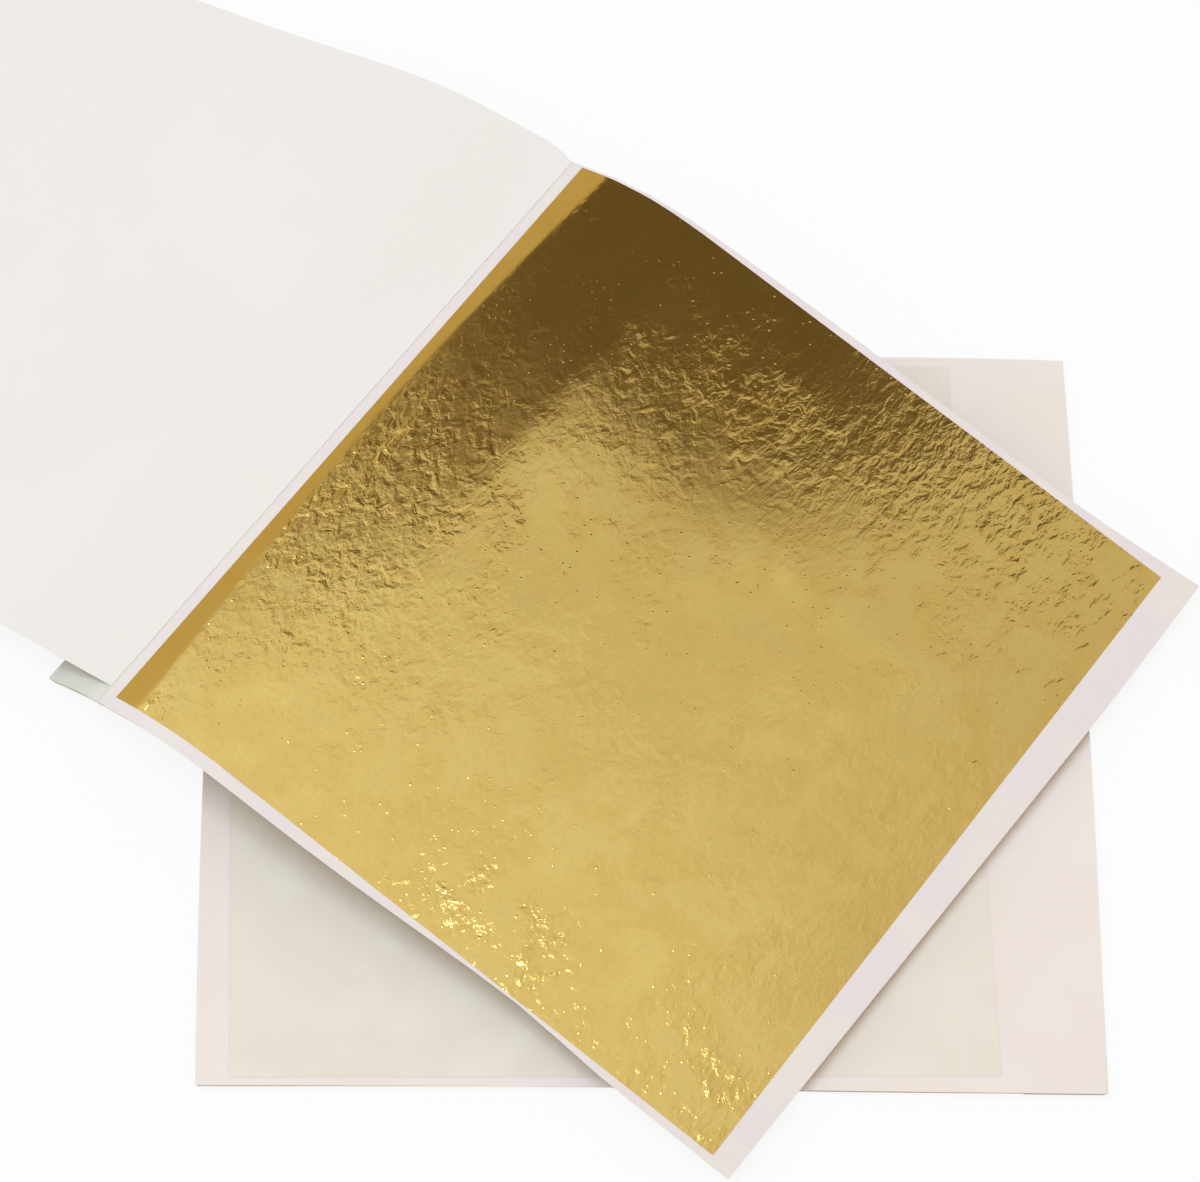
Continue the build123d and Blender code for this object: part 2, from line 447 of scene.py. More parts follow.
@dataclass(frozen=True)
class BeatenGold(Finish):
    """Beaten metal leaf: a bright mirror broken up by fine crinkles, where it has creased over its tissue."""

    name: str = "gold_leaf_beaten"
    colour: str = "#DDBE6E"
    pale: str = "#DFC374"
    roughness: float = 0.09  # a mirror, a little dulled where the crinkles are dense
    roughness_swing: float = 0.1
    lie: float = 52.6  # degrees in plan, along the fold line
    stretch: float = 1.35  # how much longer the crinkles are than wide
    wave_size: float = 26.0
    wave_height: float = 0.12
    rumple_size: float = 2.1  # real crinkles are 1.5 to 2.5 mm wide
    rumple_height: float = 0.21
    grain_size: float = 0.8  # the tissue's grain pressed into the leaf, drawn twice as coarse to show
    grain_height: float = 0.022
    dent_gap: float = 1.3
    dent_reach: float = 0.24  # a share of the gap
    dent_height: float = 0.028
    dent_least: float = 0.55  # how strong the dents are where the leaf is hardly crinkled
    dent_least_from: float = 0.12
    dent_span: tuple[float, float] = (0.74, 1.0)  # which draws make a dent, the last the full one
    dent_more: float = 0.25  # how much likelier dents are where the crinkles are dense
    cluster_size: float = 9.0
    dense_span: tuple[float, float] = (0.4, 0.6)
    rough_span: tuple[float, float] = (0.35, 0.65)
    strong_span: tuple[float, float] = (0.38, 0.6)
    strong_least: float = 0.35  # how strong the rumples are between the clusters

    def material(self) -> bpy.types.Material:
        """Makes the material: slow waves, rumples along the fold, a fine grain and scattered dents."""
        material, tree, shader = self.start(Metallic=1.0)
        where = add_node(tree, "ShaderNodeTexCoord").outputs["Object"]
        crinkled = add_node(tree, "ShaderNodeAttribute", attribute_name="crinkle").outputs["Fac"]
        look = {"Vector": where, "Scale": per_metre(self.cluster_size), "Detail": 3.0, "Distortion": 0.6}
        clusters = add_node(tree, "ShaderNodeTexNoise", look).outputs["Fac"]
        low, high = self.dense_span
        look = {"Value": clusters, "From Min": low, "From Max": high}
        dense = add_node(tree, "ShaderNodeMapRange", look, **SOFT).outputs["Result"]
        look = {0: dense, 6: linear(self.pale), 7: linear(self.colour)}
        colour = add_node(tree, "ShaderNodeMix", look, data_type="RGBA").outputs[2]
        low, high = self.rough_span
        look = {"Value": clusters, "From Min": low, "From Max": high}
        look["To Min"] = self.roughness * (1 - self.roughness_swing)
        look["To Max"] = self.roughness * (1 + self.roughness_swing)
        roughness = add_node(tree, "ShaderNodeMapRange", look, **SOFT).outputs["Result"]
        tree.links.new(roughness, shader.inputs["Roughness"])
        turn = {"Vector": where, "Rotation": (0, 0, radians(self.lie)), "Scale": (self.stretch, 1, 1)}
        along = add_node(tree, "ShaderNodeMapping", turn, vector_type="TEXTURE").outputs["Vector"]
        look = {"Value": crinkled, "From Max": self.dent_least_from, "To Max": self.dent_least}
        seen = add_node(tree, "ShaderNodeMapRange", look, **SOFT).outputs["Result"]
        look = {0: crinkled, 1: 1.0 - self.dent_least, 2: seen}
        specks = add_node(tree, "ShaderNodeMath", look, operation="MULTIPLY_ADD").outputs[0]
        low, high = self.strong_span
        look = {"Value": clusters, "From Min": low, "From Max": high, "To Min": self.strong_least}
        gathered = add_node(tree, "ShaderNodeMapRange", look, **SOFT).outputs["Result"]
        look = {0: crinkled, 1: gathered}
        strength = add_node(tree, "ShaderNodeMath", look, operation="MULTIPLY").outputs[0]
        reliefs = []
        for at, size, detail, twist, tall, share in (
            (where, self.wave_size, 1.0, 0.0, self.wave_height, 1.0),
            (along, self.rumple_size, 4.0, 0.5, self.rumple_height, strength),
            (along, self.grain_size, 1.0, 0.0, self.grain_height, crinkled),
        ):
            look = {"Vector": at, "Scale": per_metre(size), "Detail": detail, "Distortion": twist}
            reliefs.append((add_node(tree, "ShaderNodeTexNoise", look).outputs["Fac"], tall, share))
        reliefs.append((self.dents(tree, where, dense), self.dent_height, specks))
        self.cover(tree, shader, colour, reliefs)
        return material

    def dents(
        self, tree: bpy.types.NodeTree, where: bpy.types.NodeSocket, dense: bpy.types.NodeSocket
    ) -> bpy.types.NodeSocket:
        """Small steep pimples, scattered, and more of them where the leaf is more crinkled.

        Args:
            tree: the node tree.
            where: the point on the piece, in metres.
            dense: how crinkled the leaf is there, from 0 to 1.

        Returns:
            Their height, from 0 to 1.
        """
        look = {"Vector": where, "Scale": per_metre(self.dent_gap)}
        cells = add_node(tree, "ShaderNodeTexVoronoi", look).outputs
        look = {"Value": cells["Distance"], "From Max": self.dent_reach, "To Min": 1.0, "To Max": 0.0}
        shape = add_node(tree, "ShaderNodeMapRange", look, **SOFT).outputs["Result"]
        draw = add_node(tree, "ShaderNodeSeparateColor", {0: cells["Color"]}).outputs[0]
        look = {0: dense, 1: self.dent_more, 2: draw}
        share = add_node(tree, "ShaderNodeMath", look, operation="MULTIPLY_ADD").outputs[0]
        low, high = self.dent_span
        look = {"Value": share, "From Min": low, "From Max": high}
        kept = add_node(tree, "ShaderNodeMapRange", look, **SOFT).outputs["Result"]
        return add_node(tree, "ShaderNodeMath", {0: shape, 1: kept}, operation="MULTIPLY").outputs[0]


@dataclass(frozen=True)
class Materials:
    """Every finish on the booklets, made once."""

    tissue: bpy.types.Material = field(default_factory=lambda: UnglazedTissue().material())
    # the pages' tissue, with painted shade in its colour
    pages_painted_shade: bpy.types.Material = field(default_factory=lambda: PageTissuePaintedShade().material())
    cover: bpy.types.Material = field(default_factory=lambda: CoverTissue().material())
    backing: bpy.types.Material = field(default_factory=lambda: BackingPaper().material())
    glued: bpy.types.Material = field(default_factory=lambda: GluedEdge().material())
    gold: bpy.types.Material = field(default_factory=lambda: BeatenGold().material())


@dataclass(frozen=True)
class Booklet:
    """The cut sizes of a booklet and the thicknesses in its pile."""

    gold_side: float = 140.0
    strip_width: float = 14.5
    spine_margin: float = 3.0
    fore_margin: float = 6.5
    head_margin: float = 1.1
    foot_margin: float = 3.9
    tissue: float = 0.045
    gold: float = 0.012
    backing: float = 0.15
    gap: float = 0.01
    leaf_count: int = 25

    @property
    def leaf_width(self) -> float:
        """From the fold to the fore-edge."""
        return self.spine_margin + self.gold_side + self.fore_margin

    @property
    def leaf_length(self) -> float:
        """Along the spine."""
        return self.head_margin + self.gold_side + self.foot_margin

    @property
    def width(self) -> float:
        """From the spine edge to the fore-edge."""
        return self.strip_width + self.leaf_width

    def leaf_depth(self, number: int) -> float:
        """How far a tissue's upper face lies below the top of the pile."""
        return self.gap + number * (self.tissue + self.gold + 2 * self.gap)

    def gold_depth(self, number: int) -> float:
        """How far a gold leaf's upper face lies below the top of the pile."""
        return self.leaf_depth(number) - self.gap - self.gold

    @property
    def backing_depth(self) -> float:
        """How far the backing sheet's upper face lies below the top of the pile."""
        return self.leaf_depth(self.leaf_count) + self.tissue + self.gap

    @property
    def depth(self) -> float:
        """The whole pile."""
        return self.backing_depth + self.backing

    def numbers(self) -> range:
        """The numbers of the leaves, from the top."""
        return range(1, self.leaf_count + 1)


@dataclass
class Trim:
    """How far inside the top leaf's edges one sheet's edges lie, as in a pile jogged by hand."""

    seed: str
    inset: float = 0.2
    stray: float = 0.15
    waver: float = 0.05
    waver_rate: float = 9.0  # radians along a side

    def __post_init__(self) -> None:
        """Draws the sheet's own strays."""
        draw = random.Random(self.seed)
        self.strays = [draw.uniform(-1, 1) for _ in range(4)]
        self.phase = draw.uniform(0, 2 * pi)

    def at(self, side: int, share: float) -> float:
        """How far inside one of the four sides the edge lies.

        Args:
            side: 0 for the head, 1 for the foot, 2 for the fore-edge and 3 for the spine.
            share: where along that side, from 0 to 1.

        Returns:
            The distance in millimetres.
        """
        wave = self.waver * sin(self.phase + side + self.waver_rate * share)
        twist = self.strays[(side + 1) % 4] * (share - 0.5)
        return self.inset + self.stray * (self.strays[side] + twist) + wave


TOP = Trim("top", 0.0, 0.0, 0.04)


@dataclass
class OpenBooklet:
    """The open booklet: its pages in one wave from the fold, the glued margin and the turned leaf."""

    sizes: Booklet
    materials: Materials
    hinge: dict[str, object]
    rest_level: float
    ramp_angle: float = 24.0
    ramp_length: float = 12.0
    crest_radius: float = 35.0
    fold_zone: float = 2.8  # the zone by the fold, short of its gold, where the pages' grid has its own steps
    crest_fade: float = 9.0
    heel_rise: float = 0.045  # how much steeper the pages leave the fold
    heel: Marks = ((0, 8.6), (30, 5.6), (70, 3.8), (140, 8.0))
    heel_fade: float = 8.0
    ripple: float = 0.45  # how high the pages lift towards their fore-edge
    ripple_from: float = 0.375  # as a share of the width
    ripple_level: float = 0.55
    ripple_waves: Waves = ((0.3, 7.3, 0.6), (0.15, 17.0, 2.0))
    head_edge: Marks = (
        (0, 0.1), (20, -0.1), (40, -0.6), (65, -0.9), (121, -0.9), (136, -1.6), (150, -2.5),
    )
    foot_edge: Marks = ((0, 143.1), (42, 143.0), (62, 142.6), (100, 141.2), (119, 142.2), (148, 142.4))
    fore_edge: Marks = ((-3, 149.7), (33, 149.7), (142, 147.5))
    strip_reach: float = 13.3
    strip_foot: Marks = ((-14.5, 144.1), (-5.4, 143.2), (0, 143.1))
    strip_shares: tuple[float, ...] = (1.0, 0.75, 0.5, 0.25)
    strip_rows: int = 12
    strip_jog: float = 0.1
    leaf_jog: float = 0.12
    creep: float = 0.02  # how much further in each leaf's edges lie than those of the leaf above
    backing_inset: float = 0.6
    flare_leaves: int = 5  # how many leaves share the top one's flare, less and less
    page_steps: tuple[int, int, int] = (7, 6, 16)  # over the fold zone, the rest of the ramp and the crest
    fall_steps: int = 12
    leaf_rows: int = 30
    dog_ear: float = 6.0  # over this reach the tip comes down to the leaf below
    gold_shift: tuple[float, float] = (-0.1, -0.45)
    gold_turn: float = 0.0017  # in radians, the loose top leaf only
    smooth_band: Marks = ((0, 8.8), (25, 7.2), (70, 5.2), (110, 6.5), (142, 9.5))
    band_wander: Waves = ((1.1, 5.0, 3.1), (0.5, 1.7, 7.3))  # how the smooth band's border strays
    band_fade: float = 1.6
    gold_step: float = 0.65
    low_gold_steps: tuple[int, int] = (16, 8)  # across a gold leaf under the top one, and down its fall
    crinkle_height: float = 0.02
    crinkle_least: float = 0.36
    crinkle_level: float = 0.8  # of the crinkle's height, between its creases
    crease_lie: float = 35.0  # degrees from the run
    crease_layers: tuple[float, int] = (2.1, 2)  # how much finer each layer is, and how many there are
    creases: tuple[tuple[float, float, float, float, float], ...] = (
        (0.55, 9.0, 6.0, 5.0, 0.9),  # share of the height, length, width, place in the noise, smoothness
        (0.45, 4.2, 2.6, 1.0, 0.7),
    )
    patch_size: float = 7.0
    patch_swing: float = 0.6
    rumples: tuple[tuple[float, float, float, float], ...] = (  # run, across, reach and strength
        (14, 86, 20, 0.6), (30, 90, 18, 0.85), (15, 64, 12, 0.45), (44, 16, 26, -0.2), (66, 46, 20, -0.2),
        (94, 40, 20, -0.24), (72, 21, 11, 0.5), (98, 8, 12, 0.4), (121, 7, 16, 0.55), (138, 12, 10, 0.45),
        (50, 26, 14, 0.4), (92, 134, 10, 0.8), (77, 133, 8, 0.7), (10, 138, 8, 0.8), (133, 131, 12, 0.5),
        (118, 62, 26, 0.06), (136, 40, 14, 0.3), (52, 112, 16, 0.25),
    )
    turned_skew: float = 8.0
    turned_head: float = 1.5
    turned_foot_inset: float = 5.9
    turned_head_edge: Marks = ((0, 1.8), (3, 0.7), (8, 0.0), (62, 0.0), (76, 0.9), (90, 2.7), (107, 4.0))
    turned_spans: tuple[tuple[float, float, int], ...] = ((0, 2, 8), (2, 12, 12), (12, 90, 34), (90, 160, 12))
    turned_rows: int = 36
    turned_wave: float = 0.3
    turned_wave_size: float = 33.0
    turned_wave_rows: float = 4.1
    turned_wave_start: float = 60.0
    turned_root: float = 0.05
    turned_root_reach: float = 0.5
    turned_rise: float = 0.8
    turned_crest: float = 24.0
    turned_floor: float = 76.0
    turned_fold_zone: float = 10.0
    settle_rounds: int = 40

    def __post_init__(self) -> None:
        """Works out how the pages lie."""
        self.fold = Vector(self.hinge["pos_m"]) / MM
        self.foot_way = Vector(self.hinge["axis"]).normalized()
        self.page_way = UP.cross(self.foot_way)
        self.ramp = radians(self.ramp_angle)
        self.fall = 0.0
        for _ in range(self.settle_rounds):
            fall_length = self.sizes.leaf_width - self.ramp_length
            fall_length -= self.crest_radius * (self.ramp + self.fall)
            crest = self.fold.z + self.ramp_length * sin(self.ramp)
            crest += self.crest_radius * (cos(self.fall) - cos(self.ramp))
            drop = crest - self.sizes.depth * cos(self.fall) - self.rest_level
            self.fall = asin(drop / fall_length)
        self.crest_end = self.ramp_length + self.crest_radius * (self.ramp + self.fall)

    def place(self, run: float, across: float, depth: float, lift: float = 0.0) -> Vector:
        """A point of the pages.

        Args:
            run: from the fold towards the fore-edge, or less than 0 in the glued margin.
            across: from the head towards the foot.
            depth: below the top of the pile, square to the page.
            lift: straight up from there.

        Returns:
            The point in metres.
        """
        on_ramp = min(run, self.ramp_length)
        heading = self.ramp - min(max(run - self.ramp_length, 0.0) / self.crest_radius, self.ramp + self.fall)
        past = max(run - self.crest_end, 0.0)
        x = on_ramp * cos(self.ramp) + past * cos(heading)
        x += self.crest_radius * (sin(self.ramp) - sin(heading)) + depth * sin(heading)
        z = on_ramp * sin(self.ramp) + past * sin(heading)
        z += self.crest_radius * (cos(heading) - cos(self.ramp)) - depth * cos(heading)
        point = self.fold + x * self.page_way + across * self.foot_way
        return (point + (z + lift + self.stir(run, across)) * UP) * MM

    def stir(self, run: float, across: float) -> float:
        """How far the whole pile lifts: at its heel, in slow waves along the fore-edge, and not at its tip.

        Args:
            run: from the fold towards the fore-edge.
            across: from the head towards the foot.

        Returns:
            The lift in millimetres.
        """
        if run <= 0:
            return 0.0
        heel = self.heel_rise * run * (1 - ease((run - through(self.heel, across)) / self.heel_fade))
        along = across / self.sizes.leaf_length
        wave = self.ripple_level
        wave += sum(part * sin(rate * along + start) for part, rate, start in self.ripple_waves)
        out = (run / self.sizes.leaf_width - self.ripple_from) / (1 - self.ripple_from)
        tip = (self.fore_edge[-1][1] - run + self.foot_edge[-1][1] - across) / 2
        return heel + self.soften(run) + self.ripple * wave * ease(out) * ease(tip / self.dog_ear)

    def soften(self, run: float) -> float:
        """How far the page lifts where its crest runs out over a few millimetres, and not at a line.

        Args:
            run: from the fold towards the fore-edge.

        Returns:
            The lift in millimetres.
        """
        reach = self.crest_fade
        past = min(max(run - self.crest_end + reach, 0.0), 2 * reach)
        bent = ((2 * reach) ** 3 - (2 * reach - past) ** 3) / (12 * reach)
        plain = (reach**2 - (reach - min(past, reach)) ** 2) / 2
        return (bent - plain) / self.crest_radius

    def page_runs(self, start: float, end: float, falls: int) -> list[float]:
        """Runs along a page, close together where it bends.

        Args:
            start: the first run.
            end: the last run.
            falls: how many steps there are beyond the crest.

        Returns:
            The runs, in order.
        """
        at_fold, at_ramp, at_crest = self.page_steps
        runs = steps(0.0, self.fold_zone, at_fold) + steps(self.fold_zone, self.ramp_length, at_ramp)
        runs += steps(self.ramp_length, self.crest_end, at_crest) + steps(self.crest_end, end, falls)
        return [start] + [run for run in runs if start < run < end] + [end]

    def leaf_grid(self, depth: float, start: float, trim: Trim, fade: float) -> Grid:
        """The points of one face of a leaf.

        Args:
            depth: how deep it lies in the pile.
            start: the run where it starts.
            trim: how its edges stray.
            fade: how little it shares of the top leaf's flare at the head.

        Returns:
            The points, row by row from head to foot.
        """
        width = self.sizes.leaf_width
        grid = []
        for row in steps(0.0, 1.0, self.leaf_rows) + [1.0]:
            line = []
            for run in self.page_runs(start, width, self.fall_steps):
                share = max(run, 0.0) / width
                flare = through(self.head_edge, run)
                head = flare * (1 - fade) + max(flare, 0.0) * fade + trim.at(0, share)
                foot = through(self.foot_edge if run > 0 else self.strip_foot, run) - trim.at(1, share)
                across = head + (foot - head) * row
                reach = through(self.fore_edge, across) - trim.at(2, row)
                spine = -self.strip_reach + trim.at(3, row)
                run = run * reach / width if run > 0 else -run * spine / self.sizes.strip_width
                line.append(self.place(run, across, depth))
            grid.append(line)
        return grid

    def build_leaves(self) -> list[bpy.types.Object]:
        """Builds the 25 tissues."""
        pieces = []
        for number in self.sizes.numbers():
            depth = self.sizes.leaf_depth(number)
            trim = TOP if number == 1 else Trim(f"tissue {number}", self.leaf_jog + self.creep * number)
            fade = min((number - 1) / self.flare_leaves, 1.0)
            upper = self.leaf_grid(depth, 0.0, trim, fade)
            lower = self.leaf_grid(depth + self.sizes.tissue, 0.0, trim, fade)
            piece = build_shell(f"tissue_page_{number:02d}", upper, lower)
            # the pages' tissue, with painted shade in its colour
            dress(piece, self.materials.pages_painted_shade)
            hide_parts(f"tissue_leaf_{number:02d}")
            start, end = self.place(0.0, 0.0, 0.0), self.place(self.fold_zone, 0.0, 0.0)
            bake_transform(piece)
            pieces.append(piece)
        return pieces

    def crinkle_at(self, run: float, across: float) -> float:
        """How crinkled the gold is: not at all in the smooth band along the fold, and most in its rumples.

        Args:
            run: from the fold towards the fore-edge.
            across: from the head towards the foot.

        Returns:
            A share from 0 to 1.
        """
        edge = through(self.smooth_band, across)
        for height, size, place in self.band_wander:
            edge += height * noise.noise(Vector((across / size, place, 0)))
        strength = self.crinkle_least
        for at_run, at_across, reach, more in self.rumples:
            away = hypot(run - at_run, across - at_across) / reach
            strength += more * exp(-away * away)
        cloud = noise.noise(Vector((run / self.patch_size, across / self.patch_size, 9.0)))
        return min(strength * (1 + self.patch_swing * cloud), 1.0) * ease((run - edge) / self.band_fade)

    def relief_at(self, run: float, across: float) -> float:
        """The height of the top gold leaf's creases, from nothing up.

        Args:
            run: from the fold towards the fore-edge.
            across: from the head towards the foot.

        Returns:
            The height in millimetres.
        """
        turn = radians(self.crease_lie)
        along, beside = run * cos(turn) + across * sin(turn), across * cos(turn) - run * sin(turn)
        finer, layers = self.crease_layers
        height = self.crinkle_level
        for share, length, width, place, smooth in self.creases:
            at = Vector((along / length, beside / width, place))
            height += share * noise.fractal(at, smooth, finer, layers)
        return self.crinkle_height * max(0.0, height)

    def gold_point(self, run: float, across: float, depth: float, lift: float, own: bool) -> Vector:
        """A point of a gold leaf, which lies a little askew on its tissue where it is loose.

        Args:
            run: from the fold towards the fore-edge.
            across: from the head towards the foot.
            depth: below the top of the pile.
            lift: straight up from there.
            own: whether the leaf is loose.

        Returns:
            The point in metres.
        """
        middle = Vector((self.sizes.spine_margin + self.sizes.gold_side / 2, self.sizes.leaf_length / 2))
        turn = self.gold_turn if own else 0.0
        moved_run = run + self.gold_shift[0] - turn * (across - middle.y)
        moved_across = across + self.gold_shift[1] + turn * (run - middle.x)
        return self.place(moved_run, moved_across, depth, lift)

    def build_gold(self) -> list[bpy.types.Object]:
        """Builds the 25 gold leaves: the top one in full relief, those below it pressed flat."""
        pieces = []
        start = self.sizes.spine_margin
        end = start + self.sizes.gold_side
        head = self.sizes.head_margin
        for number in self.sizes.numbers():
            top = number == 1
            low_count, falls = self.low_gold_steps
            count = round(self.sizes.gold_side / self.gold_step) if top else low_count
            runs = steps(start, end, count) + [end] if top else self.page_runs(start, end, falls)
            rows = [head + self.sizes.gold_side * i / count for i in range(count + 1)]
            depth = self.sizes.gold_depth(number)
            shares = [[self.crinkle_at(run, row) for run in runs] for row in rows]
            upper, lower = [], []
            for row, line in zip(rows, shares):
                lifts = [self.relief_at(run, row) * share if top else 0.0 for run, share in zip(runs, line)]
                upper.append([self.gold_point(run, row, depth, up, top) for run, up in zip(runs, lifts)])
                lower.append([self.gold_point(run, row, depth + self.sizes.gold, 0.0, top) for run in runs])
            piece = build_shell(f"gold_sheet_{number:02d}", upper, lower)
            give_share(piece, "crinkle", [share for line in shares for share in line] * 2)
            dress(piece, self.materials.gold)
            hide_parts(f"gold_leaf_{number:02d}")
            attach(piece, "gold_leaf_01" if top else f"leaf_{number:02d}")
            pieces.append(piece)
        return pieces

    def build_backing(self) -> bpy.types.Object:
        """Builds the backing sheet, which runs on under the glued margin."""
        trim = Trim("backing", self.backing_inset)
        start = -self.sizes.strip_width
        upper = self.leaf_grid(self.sizes.backing_depth, start, trim, 1.0)
        lower = self.leaf_grid(self.sizes.depth, start, trim, 1.0)
        piece = build_shell("backing_sheet_open", upper, lower)
        dress(piece, self.materials.backing)
        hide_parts("backing_sheet")
        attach(piece, "open_booklet")
        return piece

    def build_strip(self) -> bpy.types.Object:
        """Builds the glued margin as the edges of the tissues that make it, each a little out of line."""
        sheets = []
        pitch = self.sizes.backing_depth / (self.sizes.leaf_count + 1)
        for number in range(self.sizes.leaf_count + 1):
            trim = Trim(f"strip {number}", self.strip_jog + self.creep * number)
            faces = []
            for depth in (number * pitch, (number + 1) * pitch - self.sizes.gap):
                grid = []
                for row in steps(0.0, 1.0, self.strip_rows) + [1.0]:
                    line = []
                    spine = -self.strip_reach + trim.at(3, row)
                    for run in [spine * share for share in self.strip_shares] + [-self.sizes.gap]:
                        head, foot = self.head_edge[0][1] + trim.at(0, 0), through(self.strip_foot, run)
                        line.append(self.place(run, head + (foot - trim.at(1, 0) - head) * row, depth))
                    grid.append(line)
                faces.append(grid)
            sheets.append((faces[0], faces[1]))
        piece = build_shells("bound_margin_open", sheets)
        dress(piece, self.materials.glued)
        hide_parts("bound_strip")
        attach(piece, "open_booklet")
        return piece

    def turned_height(self, out: float) -> float:
        """The turned leaf's height above the fold line.

        Args:
            out: the distance out from the fold line.

        Returns:
            The height in millimetres, less than 0 where the leaf has fallen below the fold.
        """
        crest, floor = self.turned_crest, self.turned_floor
        rise = self.turned_root * (1 - exp(-out / self.turned_root_reach))
        rise += self.turned_rise * sin(pi / 2 * min(out, crest) / crest) ** 2
        drop = self.turned_root + self.turned_rise + self.fold.z - self.sizes.tissue - self.sizes.gap
        return self.sizes.gap + rise - drop * ease((out - crest) / (floor - crest))

    def build_turned_leaf(self) -> bpy.types.Object:
        """Builds the first leaf, turned back a little askew and falling to the surface."""
        skew = radians(self.turned_skew)
        foot = self.sizes.leaf_length - self.turned_foot_inset
        slant = (foot + self.turned_head) * sin(skew) / 2
        out_way = -cos(skew) * self.page_way + sin(skew) * self.foot_way
        outs = [at for start, end, count in self.turned_spans for at in steps(start, end, count)]
        outs.append(self.turned_spans[-1][1])
        upper, lower = [], []
        for row in steps(0.0, 1.0, self.turned_rows) + [1.0]:
            reach = self.sizes.leaf_width + slant * (1 - 2 * row)
            line_up, line_low = [], []
            for out in outs:
                far = reach * out / outs[-1]
                head = -self.turned_head + through(self.turned_head_edge, far)
                base = self.fold + (head + (foot - head) * row) * self.foot_way
                cloud = noise.noise(Vector((far / self.turned_wave_size, row * self.turned_wave_rows, 2.0)))
                wave = self.turned_wave * ease(far / self.turned_wave_start) * (1 + cloud)
                low = base + far * out_way + (self.turned_height(far * cos(skew)) + wave) * UP
                line_low.append(low * MM)
                line_up.append((low + self.sizes.tissue * UP) * MM)
            upper.append(line_up)
            lower.append(line_low)
        piece = build_shell("turned_tissue", upper, lower)
        dress(piece, self.materials.tissue)
        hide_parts("turned_leaf")
        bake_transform(piece)
        return piece

    def build(self) -> list[bpy.types.Object]:
        """Builds every piece of the open booklet."""
        pieces = [self.build_strip(), self.build_backing()]
        return [*pieces, *self.build_leaves(), *self.build_gold(), self.build_turned_leaf()]


